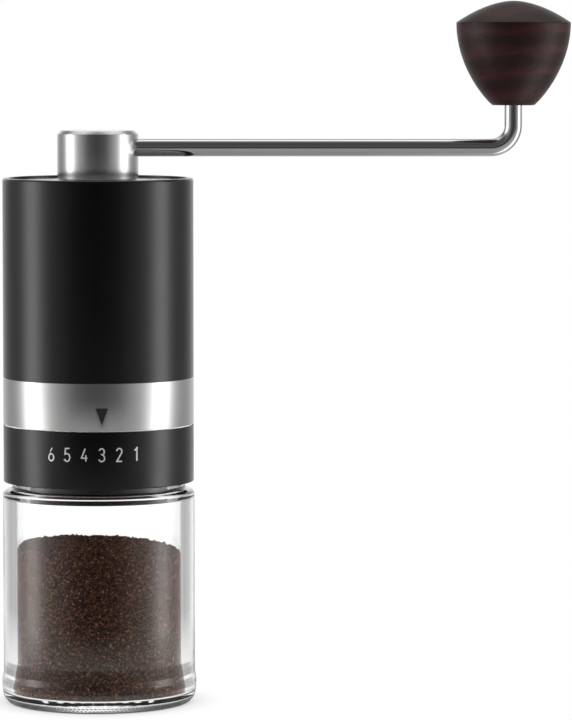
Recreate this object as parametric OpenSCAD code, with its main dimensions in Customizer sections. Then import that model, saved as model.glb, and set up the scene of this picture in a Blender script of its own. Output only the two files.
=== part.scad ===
// Hand crank coffee grinder with a glass jar.
// The main axis is Z, the jar stands on z = 0 and the crank arm points to +X.

/* [Body] */
// Outside diameter of the body tube, the steel band and the number ring
body_d = 54; // [50:0.5:66]
// Height of the black body tube
tube_h = 56.4; // [46:0.1:80]
// Wall of the body tube and of the steel band
tube_wall = 1.2; // [0.8:0.1:1.5]
// Rounding of the body tube's top edge
tube_round = 1.8; // [0.5:0.1:2.5]
// Width of the inward lip at the top of the body tube
lip_w = 0.5; // [0.3:0.1:1]
// Height of the steel band
band_h = 13.2; // [11:0.1:20]
// Width of the engraved pointer
pointer_w = 3.6; // [2:0.1:5]
// Height of the engraved pointer
pointer_h = 4.7; // [3:0.1:8]
// Depth of the engraved pointer
pointer_depth = 0.2; // [0.1:0.05:0.4]
// Direction of the pointer, seen from above, from +X
pointer_angle = -85.7; // [-100:0.1:-80]

/* [Jar] */
// Height of the glass from its base to the top of the shoulder
jar_body_h = 60.6; // [45:0.1:90]
// How far the jar's wall stands out past the body
jar_proud = 0.2; // [0:0.05:0.6]
// How far the heel stands out past the jar's wall
heel_proud = 0.4; // [0.2:0.05:0.8]
// Wall of the glass
glass_wall = 3.8; // [2.5:0.1:4.5]
// Thickness of the glass floor
glass_floor = 3.2; // [2:0.1:5]
// Pitch of the jar's thread
thread_pitch = 4; // [3.6:0.1:5]
// Turns of thread in the collar
collar_turns = 1.25; // [1:0.05:1.4]
// Turns of thread on the jar
jar_turns = 1; // [0.8:0.05:1]
// Thickness of the sealing ring on the rim
gasket_t = 1; // [0.8:0.1:1.5]

/* [Number ring] */
// Height of the number ring
ring_h = 16.1; // [15.6:0.1:22]
// Gap between the glass shoulder and the number ring
ring_gap = 2.5; // [1.5:0.1:4]
// Number of settings
settings = 6; // [4:1:7]
// Setting at rest
rest_setting = 3; // [1:1:6]
// Angle between two settings
setting_pitch = 10.4; // [8:0.1:11]
// Burr travel for one setting
setting_lift = 0.16; // [0.08:0.01:0.2]

/* [Burrs and shaft] */
// Outside diameter of the outer burr
burr_d = 38; // [34:0.5:40]
// Height of the outer burr
burr_h = 14; // [12:0.5:18]
// Largest diameter of the inner burr
cone_d = 31.2; // [28:0.1:32]
// Gap between the burrs, across the axis, at rest
burr_gap = 0.5; // [0.4:0.05:0.8]
// Diameter of the drive shaft
shaft_d = 8; // [7:0.5:9]
// Diameter of the shaft's lower journal
journal_d = 6; // [5:0.5:6.5]
// Wire of the burr spring
spring_wire = 1.1; // [0.8:0.1:1.4]
// Turns of the burr spring
spring_turns = 6; // [4:1:8]

/* [Lid and crank] */
// How far the lid lies below the body tube's top
lid_recess = 0.7; // [0.3:0.1:1.5]
// Thickness of the lid disc
lid_t = 2.5; // [2:0.1:4]
// Diameter of the crank hub
hub_d = 22.9; // [20:0.1:28]
// Height of the crank hub
hub_h = 13.9; // [12:0.1:18]
// Chamfer of the crank hub's top
hub_chamfer = 1; // [0.3:0.1:2]
// Height of the arm's centre above the hub's lower face
arm_up = 9; // [8.6:0.1:10]
// Diameter of the arm's rod
rod_d = 5; // [4:0.1:6]
// Distance from the main axis to the knob's axis
arm_reach = 117.4; // [90:0.1:150]
// Bend radius of the arm's centreline
bend_r = 6.3; // [5:0.1:12]

/* [Knob] */
// Height of the knob's lower face above the arm's centre
knob_up = 12; // [11:0.1:20]
// Largest diameter of the knob
knob_d = 32.3; // [28:0.1:40]
// Diameter of the knob's flat lower end
knob_foot_d = 11.8; // [11.4:0.1:16]
// Height of the knob from its foot to its edge
knob_side_h = 23.3; // [22:0.1:32]
// Height of the knob's dome
knob_dome_h = 6.1; // [4:0.1:9]

/* [Fits] */
// Radial clearance of everything that turns on or in another piece
run_fit = 0.06; // [0.03:0.01:0.1]
// Radial clearance between moulded pieces that stay put
still_fit = 0.1; // [0.05:0.01:0.2]
// Gap between flat faces of pieces that move past each other
face_gap = 0.05; // [0.03:0.01:0.15]
// Play of pieces that pass each other freely
free_gap = 0.3; // [0.2:0.05:0.5]

/* [Hidden] */
$fn = 128;
cut = 1;
sink = 0.3;

// Heights of the outside pieces
ring_z = jar_body_h + ring_gap;
band_z = ring_z + ring_h + free_gap;
tube_z = band_z + band_h;
top_z = tube_z + tube_h;
lid_top = top_z - lid_recess;
hub_z = lid_top + 0.2;
arm_z = hub_z + arm_up;
knob_z = arm_z + knob_up;
edge_z = knob_z + knob_side_h;

// Radii of the housing, from the outside in
body_r = body_d / 2;
tube_in = body_r - tube_wall;
chamber_r = tube_in - still_fit;
hopper_wall = 2;
hopper_r = chamber_r - hopper_wall;
cam_wall = 0.8;
cam_r = body_r - cam_wall;
ring_wall = 1.84;
ring_in = body_r - ring_wall;
skirt_r = ring_in - run_fit;
skirt_wall = 1.4;
skirt_in = skirt_r - skirt_wall;

// Collar and jar thread
cam_h = 4.8;
collar_top = ring_z + ring_h - cam_h;
collar_z = ring_z + 0.9;
flange_t = 1.2;
flange_r = body_r - 0.9;
collar_in = skirt_in - 0.3;
land_t = 1.5;
land_z = collar_top - land_t;
rim_z = land_z - gasket_t - face_gap;
finish_r = collar_in - 0.9;
finish_wall = 2.7;
mouth_r = finish_r - finish_wall;
// Tube that leads the grounds into the jar's mouth; the land joins it in the middle of its wall
outlet_r = mouth_r - free_gap;
outlet_wall = 0.7;
outlet_z = jar_body_h - 2;
land_in = outlet_r - outlet_wall / 2;
thread_h = 0.7;
thread_root = 1.9;
thread_crest = 1;
// A thread's chords stay this close to its helix
thread_sag = 0.2;
thread_steps = ceil(180 / acos(1 - thread_sag / finish_r));
collar_thread_z = collar_z + 1.2;
jar_thread_start = -90;
jar_thread_z = collar_thread_z + thread_root / 2 + thread_crest / 2 + 0.25
    + thread_pitch * jar_thread_start / 360;

// Glass jar
jar_r = body_r + jar_proud;
jar_in = jar_r - glass_wall;
heel_r = jar_r + heel_proud;
foot_r = heel_r - 1.8;
heel_top = 8.6;
neck_r = body_r - 2.5;
shoulder_z = jar_body_h - 5;
bead_top = ring_z + 0.3;
punt_r = 19;
punt_h = 0.8;

// Lower bearing and grind setting
arm_phase = 90;
pin_r = 1.4;
pin_z = collar_top + 3;
pin_in = 21;
pin_out = cam_r - 0.12;
ramp_in = ring_in + 0.08;
ramp_lead = setting_lift * 360 / setting_pitch;
ramp_margin = 9;
ramp_low = -(settings - rest_setting) * setting_pitch - ramp_margin;
ramp_high = (rest_setting - 1) * setting_pitch + ramp_margin;
ramp_steps = 12;
carrier_z = collar_top + 0.6;
carrier_top = collar_top + 6;
carrier_r = 7;
carrier_arm_w = 5;
carrier_arm_h = 3.4;
bush_wall = 1.5;
washer_t = 0.6;
shaft_flange_z = carrier_top + washer_t + face_gap;
shaft_flange_t = 0.9;
clip_t = 0.7;

// Burrs
cone_z = shaft_flange_z + shaft_flange_t;
clamp_t = 1.6;
clamp_z = collar_top + 7.4;
outer_z = clamp_z + clamp_t;
outer_top = outer_z + burr_h;
fine_h = 6.5;
fine_slope = 0.46;
cone_r = cone_d / 2;
cone_mid_r = cone_r - fine_h * fine_slope;
cone_top_r = 7;
cone_h = 19.5;
cone_top = cone_z + cone_h;
outer_low_r = cone_r - (outer_z - cone_z) * fine_slope + burr_gap;
throat_z = cone_z + fine_h;
throat_r = cone_mid_r + burr_gap;
outer_top_r = throat_r + 0.9;
pocket_r = burr_d / 2 + still_fit;
pocket_wall = 3.4;
flutes_in = 10;
flutes_out = 14;
nut_h = 3;
nut_r = 6.6;

// Chamber, bridge and screws
seat_t = 2;
funnel_h = 12;
funnel_r = pocket_r - 3;
boss_r = 2.1;
screw_r = 1;
head_r = 1.9;
head_h = 1.2;
boss_at = skirt_in - boss_r - 0.4;
burr_screw_at = pocket_r + pocket_wall / 2;
bridge_t = 4;
bridge_z = lid_top - 21;
bridge_r = hopper_r - still_fit;
bridge_hub_r = 7.2;
bridge_arm_w = 3.4;
pad_w = 7;
pad_l = 4.6;
bridge_screw_at = bridge_r - 2.2;
ledge_h = 4;
upper_bush_r = shaft_d / 2 + 1.2;
bush_flange_t = 1;

// Shaft and crank
shaft_r = shaft_d / 2;
journal_r = journal_d / 2;
shaft_low = carrier_z - clip_t - 2 * face_gap;
hex_z = bridge_z + bridge_t + 5;
hex_top = lid_top - 1.9;
hex_fit = 0.12;
socket_r = shaft_r + 2.5;
socket_z = lid_top - 11.4;
socket_top = hub_z + 5.4;
hex_depth_z = lid_top - 1.1;
groove_depth = 0.6;
lid_bush_wall = 2;
lid_bush_r = socket_r + run_fit + lid_bush_wall;
lid_boss_h = 4.4;
lid_clip_z = lid_top - lid_boss_h - clip_t - face_gap;
lid_r = tube_in - lip_w - free_gap;
lid_skirt_r = hopper_r - free_gap;
lid_skirt_wall = 1.6;
lid_skirt_h = 4.4;
seal_r = 0.7;
seal_at = hopper_r - run_fit - seal_r;
seal_z = lid_top - lid_t - 2.2;
grub_r = 2;
arm_in = 6;

// Click spring
click_angle = 270;
click_span = 20;
click_z = ring_z + 4.4;
click_h = 3;
leaf_t = 0.3;
nose_r = 0.8;
leaf_r = skirt_r - 0.2;

// Knob
knob_r = knob_d / 2;
knob_foot_r = knob_foot_d / 2;
rod_r = rod_d / 2;
knob_bush_r = rod_r + run_fit + 2;
knob_bush_h = 17;
knob_clip_r = knob_bush_r - free_gap;
rod_top = knob_z + knob_bush_h + 2.4;
knob_steps = 20;

// Puts a copy at each of three directions, from a first one.
module three(first) {
    for (k = [0:2])
        rotate([0, 0, first + 120 * k]) children();
}

// Flat ring from z0 to z1.
module tube(r_out, r_in, z0, z1) {
    difference() {
        translate([0, 0, z0]) cylinder(r = r_out, h = z1 - z0);
        translate([0, 0, z0 - cut]) cylinder(r = r_in, h = z1 - z0 + 2 * cut);
    }
}

// Screw with a round head, standing up from its head at the origin.
module screw_up(length) {
    cylinder(r = head_r, h = head_h);
    cylinder(r = screw_r, h = length);
}

// Faces of a four-sided bar that runs through n + 1 rings of points.
function bar_faces(n) = concat(
    [for (i = [0:n - 1], k = [0:3]) let (a = 4 * i + k, b = 4 * i + (k + 1) % 4)
        each [[a, b, b + 4], [a, b + 4, a + 4]]],
    [[0, 2, 1], [0, 3, 2], [4 * n, 4 * n + 1, 4 * n + 2], [4 * n, 4 * n + 2, 4 * n + 3]]);

// Ridge along a helix, with faded ends; it goes outwards, or inwards if crest_r is less than root_r.
module thread_ridge(root_r, crest_r, z0, turns, pitch) {
    n = round(thread_steps * turns);
    function fade(i) = min(1, 0.05 + i / 3, 0.05 + (n - i) / 3);
    function at(i, r, dz) = let (a = 360 * turns * i / n)
        [r * cos(a), r * sin(a), z0 + pitch * turns * i / n + dz];
    c = thread_crest / 2;
    w = thread_root / 2;
    function ring(i) = let (r = root_r + (crest_r - root_r) * fade(i))
        [at(i, root_r, -w), at(i, r, -c), at(i, r, c), at(i, root_r, w)];
    inward = crest_r < root_r;
    faces = bar_faces(n);
    polyhedron([for (i = [0:n]) each ring(i)], inward ? [for (f = faces) [f[2], f[1], f[0]]] : faces);
}

// Helical ramp on the number ring's inner shoulder, at the arm that stands at angle 0.
module ramp() {
    n = ramp_steps;
    low = collar_top - sink;
    function turn(i) = ramp_low + (ramp_high - ramp_low) * i / n;
    function top(i) = pin_z - pin_r - face_gap + ramp_lead * turn(i) / 360;
    function ring(i) = let (a = turn(i), out = cam_r + cam_wall / 2)
        [[ramp_in * cos(a), ramp_in * sin(a), low], [out * cos(a), out * sin(a), low],
         [out * cos(a), out * sin(a), top(i)], [ramp_in * cos(a), ramp_in * sin(a), top(i)]];
    polyhedron([for (i = [0:n]) each ring(i)], bar_faces(n));
}

// Glass jar: heel, wall, shoulder, bead, threaded finish and mouth.
module glass_jar() {
    shoulder = jar_r - neck_r;
    color("lightcyan", 0.4) {
        rotate_extrude() polygon(concat(
            [[0, punt_h], [punt_r - 1, punt_h], [punt_r, 0], [foot_r, 0]],
            [for (a = [-60:30:0]) [foot_r + 1.2 * cos(a), 1.2 + 1.2 * sin(a)]],
            [[heel_r, 3.6], [heel_r, heel_top - 1], [jar_r, heel_top + 0.2], [jar_r, shoulder_z]],
            [for (a = [15:15:90]) [jar_r - shoulder + shoulder * cos(a),
                shoulder_z + (jar_body_h - shoulder_z) * sin(a)]],
            [[neck_r, bead_top - 0.5], [neck_r - 0.5, bead_top], [finish_r, bead_top],
             [finish_r, rim_z - 0.6], [finish_r - 0.6, rim_z], [mouth_r + 0.6, rim_z],
             [mouth_r, rim_z - 0.6], [mouth_r, jar_body_h]],
            [for (a = [75:-15:0]) [mouth_r + (jar_in - mouth_r) * cos(a),
                shoulder_z - 3 + (jar_body_h - shoulder_z + 3) * sin(a)]],
            [[jar_in, heel_top + 3], [jar_in + 1.5, heel_top - 2], [jar_in + 1.5, glass_floor + 2.5]],
            [for (a = [-30:-30:-90]) [jar_in - 1 + 2.5 * cos(a), glass_floor + 2.5 + 2.5 * sin(a)]],
            [[0, glass_floor]]));
        rotate([0, 0, jar_thread_start])
            thread_ridge(finish_r - sink, finish_r + thread_h, jar_thread_z, jar_turns, thread_pitch);
    }
}

module jar_gasket() {
    color("whitesmoke") tube(finish_r - sink, mouth_r + 0.1, rim_z, rim_z + gasket_t);
}

// Black body tube with a rounded top edge and an inward lip over the chamber.
module body_shell() {
    lip_in = tube_in - lip_w;
    lip_z = lid_top - lid_t - still_fit;
    color("black") rotate_extrude() polygon(concat(
        [[tube_in, tube_z], [body_r, tube_z]],
        [for (a = [0:15:90]) [body_r - tube_round * (1 - cos(a)), top_z - tube_round * (1 - sin(a))]],
        [[lip_in + 0.3, top_z], [lip_in, top_z - 0.3], [lip_in, lip_z], [tube_in, lip_z]]));
}

// Brushed band with the engraved pointer; it is clamped by the chamber's lower flange.
module steel_band() {
    color("silver") difference() {
        tube(body_r, tube_in, band_z, tube_z);
        translate([0, 0, band_z - cut]) cylinder(r = flange_r + 0.5, h = cut + flange_t);
        rotate([0, 0, pointer_angle]) translate([body_r - pointer_depth, 0, band_z + 1.7])
            rotate([90, 0, 90]) linear_extrude(height = cut)
                polygon([[0, 0], [pointer_w / 2, pointer_h], [-pointer_w / 2, pointer_h]]);
    }
}

// Moulded inner body: hopper, funnel, burr pocket, cored wall and slotted skirt.
module chamber_body() {
    wall_in = pocket_r + pocket_wall;
    core_out = chamber_r - 1.5;
    core_top = outer_top - 2;
    // A boss that stands clear of the burr pocket's wall is tied to it by a web
    web_in = 1;
    color("dimgray") difference() {
        union() {
            rotate_extrude() polygon([
                [skirt_in, collar_top], [skirt_r, collar_top], [skirt_r, band_z], [flange_r + 0.4, band_z],
                [flange_r + 0.4, band_z + flange_t], [chamber_r, band_z + flange_t],
                [chamber_r, lid_top - lid_t - still_fit], [hopper_r, lid_top - lid_t - still_fit],
                [hopper_r, outer_top + seat_t + funnel_h], [funnel_r, outer_top + seat_t],
                [funnel_r, outer_top], [pocket_r, outer_top], [pocket_r, outer_z], [wall_in, outer_z],
                [wall_in, core_top], [core_out, core_top], [core_out, outer_z], [skirt_in, outer_z]]);
            three(30) translate([boss_at, 0, collar_top])
                cylinder(r = boss_r, h = outer_z - collar_top + sink);
            three(30) translate([wall_in - web_in, -boss_r, outer_z])
                cube([max(web_in / 2, boss_at - wall_in + web_in), 2 * boss_r, core_top - outer_z]);
            three(arm_phase) translate([bridge_r - pad_l, -pad_w / 2, bridge_z - ledge_h])
                cube([pad_l + still_fit + sink, pad_w, ledge_h]);
        }
        three(30) translate([boss_at, 0, collar_top - cut]) cylinder(r = screw_r, h = cut + 6);
        three(arm_phase) translate([burr_screw_at, 0, outer_z - cut]) cylinder(r = screw_r, h = cut + 6);
        three(arm_phase) translate([bridge_screw_at, 0, bridge_z - ledge_h - cut])
            cylinder(r = screw_r, h = ledge_h + 2 * cut);
        three(arm_phase) translate([skirt_in - cut, -pin_r - still_fit, collar_top - cut])
            cube([skirt_wall + 2 * cut, 2 * (pin_r + still_fit), cut + 5.4]);
    }
}

// Upper bearing bridge with three arms, each with a pad on a ledge of the chamber.
module bridge() {
    color("gray") difference() {
        intersection() {
            union() {
                translate([0, 0, bridge_z]) cylinder(r = bridge_hub_r, h = bridge_t);
                three(arm_phase) translate([0, -bridge_arm_w / 2, bridge_z])
                    cube([bridge_r + cut, bridge_arm_w, bridge_t]);
                three(arm_phase) translate([bridge_r - pad_l, -pad_w / 2, bridge_z])
                    cube([pad_l + cut, pad_w, bridge_t / 2]);
            }
            translate([0, 0, bridge_z - cut]) cylinder(r = bridge_r, h = bridge_t + 2 * cut);
        }
        translate([0, 0, bridge_z - cut]) cylinder(r = upper_bush_r, h = bridge_t + 2 * cut);
        three(arm_phase) translate([bridge_screw_at, 0, bridge_z - cut])
            cylinder(r = screw_r, h = bridge_t + 2 * cut);
        three(arm_phase) translate([bridge_screw_at, 0, bridge_z + bridge_t / 2])
            cylinder(r = head_r + still_fit, h = bridge_t);
    }
}

module upper_bush() {
    color("tan") union() {
        tube(upper_bush_r, shaft_r + run_fit, bridge_z, bridge_z + bridge_t + 1.5);
        tube(bridge_hub_r, shaft_r + run_fit, bridge_z - bush_flange_t, bridge_z);
    }
}

module bridge_screws() {
    color("silver") three(arm_phase) translate([bridge_screw_at, 0, bridge_z + bridge_t / 2 + head_h])
        mirror([0, 0, 1]) screw_up(head_h + bridge_t / 2 + ledge_h);
}

// Ceramic ring burr with flutes on its inner face.
module outer_burr() {
    color("ivory") difference() {
        rotate_extrude() polygon([
            [outer_low_r, outer_z], [burr_d / 2, outer_z], [burr_d / 2, outer_top], [outer_top_r, outer_top],
            [throat_r, throat_z]]);
        for (k = [0:flutes_out - 1])
            rotate([0, 0, 360 * k / flutes_out]) translate([throat_r - 0.6, 0, throat_z - 1])
                rotate([-20, 6, 0]) translate([0, -1, 0]) cube([2.2, 2, burr_h]);
    }
}

module burr_clamp() {
    color("dimgray") difference() {
        tube(pocket_r + pocket_wall - still_fit, cone_r + 0.6, clamp_z, outer_z);
        three(arm_phase) translate([burr_screw_at, 0, clamp_z - cut])
            cylinder(r = screw_r, h = clamp_t + 2 * cut);
        three(30) translate([boss_at, 0, clamp_z - cut])
            cylinder(r = boss_r + still_fit, h = clamp_t + 2 * cut);
    }
}

module burr_screws() {
    color("silver") three(arm_phase) translate([burr_screw_at, 0, clamp_z - head_h])
        screw_up(head_h + clamp_t + 5);
}

// Collar with the inner jar thread, the sealing land and outlet, and the flange that carries the number
// ring.
module jar_collar() {
    color("dimgray") difference() {
        union() {
            tube(skirt_r, collar_in, collar_z, collar_top);
            tube(flange_r, collar_in, collar_z, collar_z + flange_t);
            tube(collar_in + sink, land_in, land_z, collar_top);
            tube(outlet_r, outlet_r - outlet_wall, outlet_z, collar_top);
            thread_ridge(collar_in + sink, collar_in - thread_h, collar_thread_z, collar_turns, thread_pitch);
        }
        three(30) translate([boss_at, 0, land_z - cut]) cylinder(r = screw_r, h = land_t + 2 * cut);
        three(30) translate([boss_at, 0, land_z - cut]) cylinder(r = head_r, h = cut + head_h);
        rotate([0, 0, click_angle]) click_pocket();
    }
}

module collar_screws() {
    color("silver") three(30) translate([boss_at, 0, land_z]) screw_up(land_t + 5.5);
}

// Sector that the click spring's leaf and its pocket in the collar are made from.
module click_sector(r_in, r_out, z0, h, span) {
    rotate([0, 0, -span]) translate([0, 0, z0]) rotate_extrude(angle = 2 * span)
        translate([r_in, 0]) square([r_out - r_in, h]);
}

module click_pocket() {
    click_sector(leaf_r - leaf_t, skirt_r + cut, click_z - 0.1, click_h + 0.2, click_span + 0.3);
}

module click_spring() {
    color("silver") rotate([0, 0, click_angle]) {
        click_sector(leaf_r - leaf_t, leaf_r, click_z, click_h, click_span);
        translate([ring_in - face_gap - nose_r, 0, click_z]) intersection() {
            cylinder(r = nose_r, h = click_h);
            translate([leaf_r - leaf_t / 2 - ring_in + face_gap + nose_r, -nose_r, 0])
                cube([2 * nose_r, 2 * nose_r, click_h]);
        }
    }
}

module glide_ring() {
    color("whitesmoke") tube(body_r - 0.4, skirt_r + still_fit, band_z - free_gap + face_gap, band_z);
}

// Number ring: pilot bore, flange recess, click notches and three ramps.
module number_ring() {
    ring_top = ring_z + ring_h;
    color("black") {
        difference() {
            rotate_extrude() polygon([
                [flange_r + 0.15, ring_z], [body_r - 0.4, ring_z], [body_r, ring_z + 0.4],
                [body_r, ring_top - 0.2], [body_r - 0.2, ring_top], [cam_r, ring_top], [cam_r, collar_top],
                [ring_in, collar_top], [ring_in, collar_z + flange_t + face_gap],
                [flange_r + 0.15, collar_z + flange_t + face_gap]]);
            for (k = [1:settings])
                rotate([0, 0, click_angle + (k - rest_setting) * -setting_pitch])
                    translate([ring_in - face_gap - nose_r + 0.35, 0, collar_z + flange_t - cut])
                        cylinder(r = nose_r, h = collar_top - collar_z - flange_t + 2 * cut);
        }
        three(arm_phase) ramp();
    }
}

// Carrier of the lower bearing.
module lower_carrier() {
    color("gray") difference() {
        union() {
            translate([0, 0, carrier_z]) cylinder(r = carrier_r, h = carrier_top - carrier_z);
            three(arm_phase) translate([0, -carrier_arm_w / 2, pin_z - carrier_arm_h / 2])
                cube([skirt_in - 0.5, carrier_arm_w, carrier_arm_h]);
        }
        translate([0, 0, carrier_z - cut]) cylinder(r = journal_r + bush_wall, h = carrier_top);
        three(arm_phase) translate([pin_in, 0, pin_z]) rotate([0, 90, 0]) cylinder(r = pin_r, h = body_r);
    }
}

module cam_pins() {
    color("silver") three(arm_phase) translate([pin_in, 0, pin_z]) rotate([0, 90, 0])
        cylinder(r = pin_r, h = pin_out - pin_in);
}

module lower_bush() {
    color("tan") tube(journal_r + bush_wall, journal_r + run_fit, carrier_z, carrier_top);
}

module thrust_washer() {
    color("whitesmoke") tube(carrier_r, journal_r + still_fit, carrier_top, carrier_top + washer_t);
}

// Shaft: grooved journal, flange, round part and hexagonal top.
module drive_shaft() {
    color("silver") difference() {
        union() {
            translate([0, 0, shaft_low - clip_t - 0.5])
                cylinder(r = journal_r, h = shaft_flange_z - shaft_low + clip_t + 1);
            translate([0, 0, shaft_flange_z]) cylinder(r = carrier_r, h = shaft_flange_t);
            translate([0, 0, shaft_flange_z + shaft_flange_t / 2])
                cylinder(r = shaft_r, h = hex_z - shaft_flange_z - shaft_flange_t / 2);
            translate([0, 0, hex_z - cut]) cylinder(r = shaft_r, h = hex_top - hex_z + cut, $fn = 6);
        }
        tube(journal_r + cut, journal_r - groove_depth, shaft_low, shaft_low + clip_t);
    }
}

// Ceramic cone burr: a steep breaking part on a fine part, with flutes.
module inner_burr() {
    color("ivory") difference() {
        rotate_extrude() polygon([
            [shaft_r, cone_z], [cone_r, cone_z], [cone_mid_r, throat_z], [cone_top_r, cone_top],
            [shaft_r, cone_top]]);
        for (k = [0:flutes_in - 1])
            rotate([0, 0, 360 * k / flutes_in]) translate([cone_mid_r - 1.6, 0, throat_z - 2])
                rotate([24, -26, 0]) translate([0, -1.2, 0]) cube([3, 2.4, cone_h]);
    }
}

module burr_nut() {
    color("silver") difference() {
        translate([0, 0, cone_top]) cylinder(r = nut_r, h = nut_h, $fn = 6);
        translate([0, 0, cone_top - cut]) cylinder(r = shaft_r, h = nut_h + 2 * cut);
    }
}

// Compression spring from the nut to the bush flange.
module burr_spring() {
    wire = spring_wire / 2;
    coil_r = shaft_r + 1 + wire;
    low = cone_top + nut_h + wire;
    high = bridge_z - bush_flange_t - face_gap - wire;
    per_turn = 16;
    sides = 6;
    n = per_turn * spring_turns;
    function rise(i) = let (t = i / per_turn, open = spring_turns - 1.5)
        low + (high - low) * min(1, max(0, (t - 0.75) / open));
    function ring(i) = let (a = 360 * i / per_turn)
        [for (k = [0:sides - 1]) let (b = 360 * k / sides, r = coil_r + wire * cos(b))
            [r * cos(a), r * sin(a), rise(i) + wire * sin(b)]];
    points = [for (i = [0:n]) each ring(i)];
    skin = [for (i = [0:n - 1], k = [0:sides - 1])
        let (a = sides * i + k, b = sides * i + (k + 1) % sides)
        each [[a, b, b + sides], [a, b + sides, a + sides]]];
    start = [[for (k = [0:sides - 1]) sides - 1 - k]];
    end = [[for (k = [0:sides - 1]) sides * n + k]];
    faces = concat(skin, start, end);
    color("silver") polyhedron(points, [for (f = faces) [for (q = [len(f) - 1:-1:0]) f[q]]]);
}

module shaft_clip() {
    color("silver") difference() {
        tube(journal_r + 2, journal_r - groove_depth, shaft_low, shaft_low + clip_t);
        translate([0, -1.2, shaft_low - cut]) cube([journal_r + 3, 2.4, clip_t + 2 * cut]);
    }
}

// Lid disc with a bevelled edge, a skirt with the seal's groove, and a boss for the bush.
module lid() {
    bottom = lid_top - lid_t;
    boss_low = lid_top - lid_boss_h;
    groove = seal_r + face_gap;
    inner = lid_skirt_r - lid_skirt_wall;
    color("dimgray") rotate_extrude() polygon([
        [lid_bush_r, boss_low], [lid_bush_r + 2, boss_low], [lid_bush_r + 2, bottom], [inner, bottom],
        [inner, bottom - lid_skirt_h], [lid_skirt_r, bottom - lid_skirt_h], [lid_skirt_r, seal_z - groove],
        [seal_at - groove, seal_z - groove], [seal_at - groove, seal_z + groove],
        [lid_skirt_r, seal_z + groove], [lid_skirt_r, bottom], [lid_r, bottom], [lid_r, lid_top - 0.5],
        [lid_r - 0.5, lid_top], [lid_bush_r, lid_top]]);
}

module lid_seal() {
    color("whitesmoke") rotate_extrude() translate([seal_at, seal_z]) circle(r = seal_r);
}

module lid_bush() {
    color("black") tube(lid_bush_r, socket_r + run_fit, lid_top - lid_boss_h, lid_top);
}

// Hub with a chamfered top, a bevelled lower edge and the bores for the socket and the arm.
module crank_hub() {
    r = hub_d / 2;
    high = hub_z + hub_h;
    color("silver") difference() {
        rotate_extrude() polygon([
            [0, hub_z], [r - 0.4, hub_z], [r, hub_z + 0.4], [r, high - hub_chamfer], [r - hub_chamfer, high],
            [0, high]]);
        translate([0, 0, hub_z - cut]) cylinder(r = socket_r, h = socket_top - hub_z + cut);
        translate([0, 0, hub_z]) cylinder(r = grub_r, h = arm_up);
        translate([-arm_in, 0, arm_z]) rotate([0, 90, 0]) cylinder(r = rod_r, h = arm_in + r + cut);
    }
}

module drive_socket() {
    color("silver") difference() {
        translate([0, 0, socket_z]) cylinder(r = socket_r, h = socket_top - socket_z);
        translate([0, 0, socket_z - cut])
            cylinder(r = shaft_r + hex_fit, h = hex_depth_z - socket_z + cut, $fn = 6);
        translate([0, 0, socket_z]) cylinder(r = grub_r, h = socket_top - socket_z + cut);
        tube(socket_r + cut, socket_r - groove_depth, lid_clip_z, lid_clip_z + clip_t);
    }
}

module socket_clip() {
    color("silver") difference() {
        tube(socket_r + 1.6, socket_r - groove_depth, lid_clip_z, lid_clip_z + clip_t);
        translate([-socket_r - 3, -1.5, lid_clip_z - cut]) cube([socket_r + 3, 3, clip_t + 2 * cut]);
    }
}

// Grub screw with a hexagonal recess, from the socket up to the arm.
module arm_screw() {
    low = hex_depth_z + 0.6;
    color("silver") difference() {
        translate([0, 0, low]) cylinder(r = grub_r, h = arm_z - rod_r - low);
        translate([0, 0, low - cut]) cylinder(r = grub_r / 2, h = cut + 2, $fn = 6);
    }
}

// Bent rod: a straight run, a quarter bend and the upright end with the clip's groove.
module crank_arm() {
    color("silver") difference() {
        union() {
            translate([-arm_in, 0, arm_z]) rotate([0, 90, 0])
                cylinder(r = rod_r, h = arm_reach - bend_r + arm_in);
            translate([arm_reach - bend_r, 0, arm_z + bend_r]) rotate([-90, 0, 0])
                rotate_extrude(angle = 90) translate([bend_r, 0]) circle(r = rod_r);
            translate([arm_reach, 0, arm_z + bend_r]) cylinder(r = rod_r, h = rod_top - arm_z - bend_r);
        }
        translate([arm_reach, 0, 0]) tube(rod_r + cut, rod_r - groove_depth, knob_z + knob_bush_h + 0.3,
            knob_z + knob_bush_h + 0.3 + clip_t);
    }
}

module knob_clip() {
    low = knob_z + knob_bush_h + 0.3;
    color("silver") translate([arm_reach, 0, 0]) difference() {
        tube(knob_clip_r, rod_r - groove_depth, low, low + clip_t);
        translate([0, -1, low - cut]) cube([knob_clip_r + cut, 2, clip_t + 2 * cut]);
    }
}

// Turned knob: full side curve from the foot to a sharp edge, then a low dome; blind bore from below.
module knob() {
    function side(t) = knob_foot_r + (knob_r - knob_foot_r) * pow(1 - pow(1 - t, 2), 0.9);
    function dome(r) = knob_dome_h * (1 - pow(r / knob_r, 1.8));
    bore_top = rod_top + 0.8;
    color("saddlebrown") translate([arm_reach, 0, 0]) difference() {
        rotate_extrude() polygon(concat(
            [[0, knob_z]],
            [for (i = [0:knob_steps]) [side(i / knob_steps), knob_z + knob_side_h * i / knob_steps]],
            [for (i = [1:knob_steps - 1]) let (r = knob_r * (1 - i / knob_steps)) [r, edge_z + dome(r)]],
            [[0, edge_z + knob_dome_h]]));
        translate([0, 0, knob_z - cut]) cylinder(r = knob_bush_r, h = bore_top - knob_z + cut);
    }
}

module knob_bush() {
    color("black") translate([arm_reach, 0, 0])
        tube(knob_bush_r, rod_r + run_fit, knob_z, knob_z + knob_bush_h);
}

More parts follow.
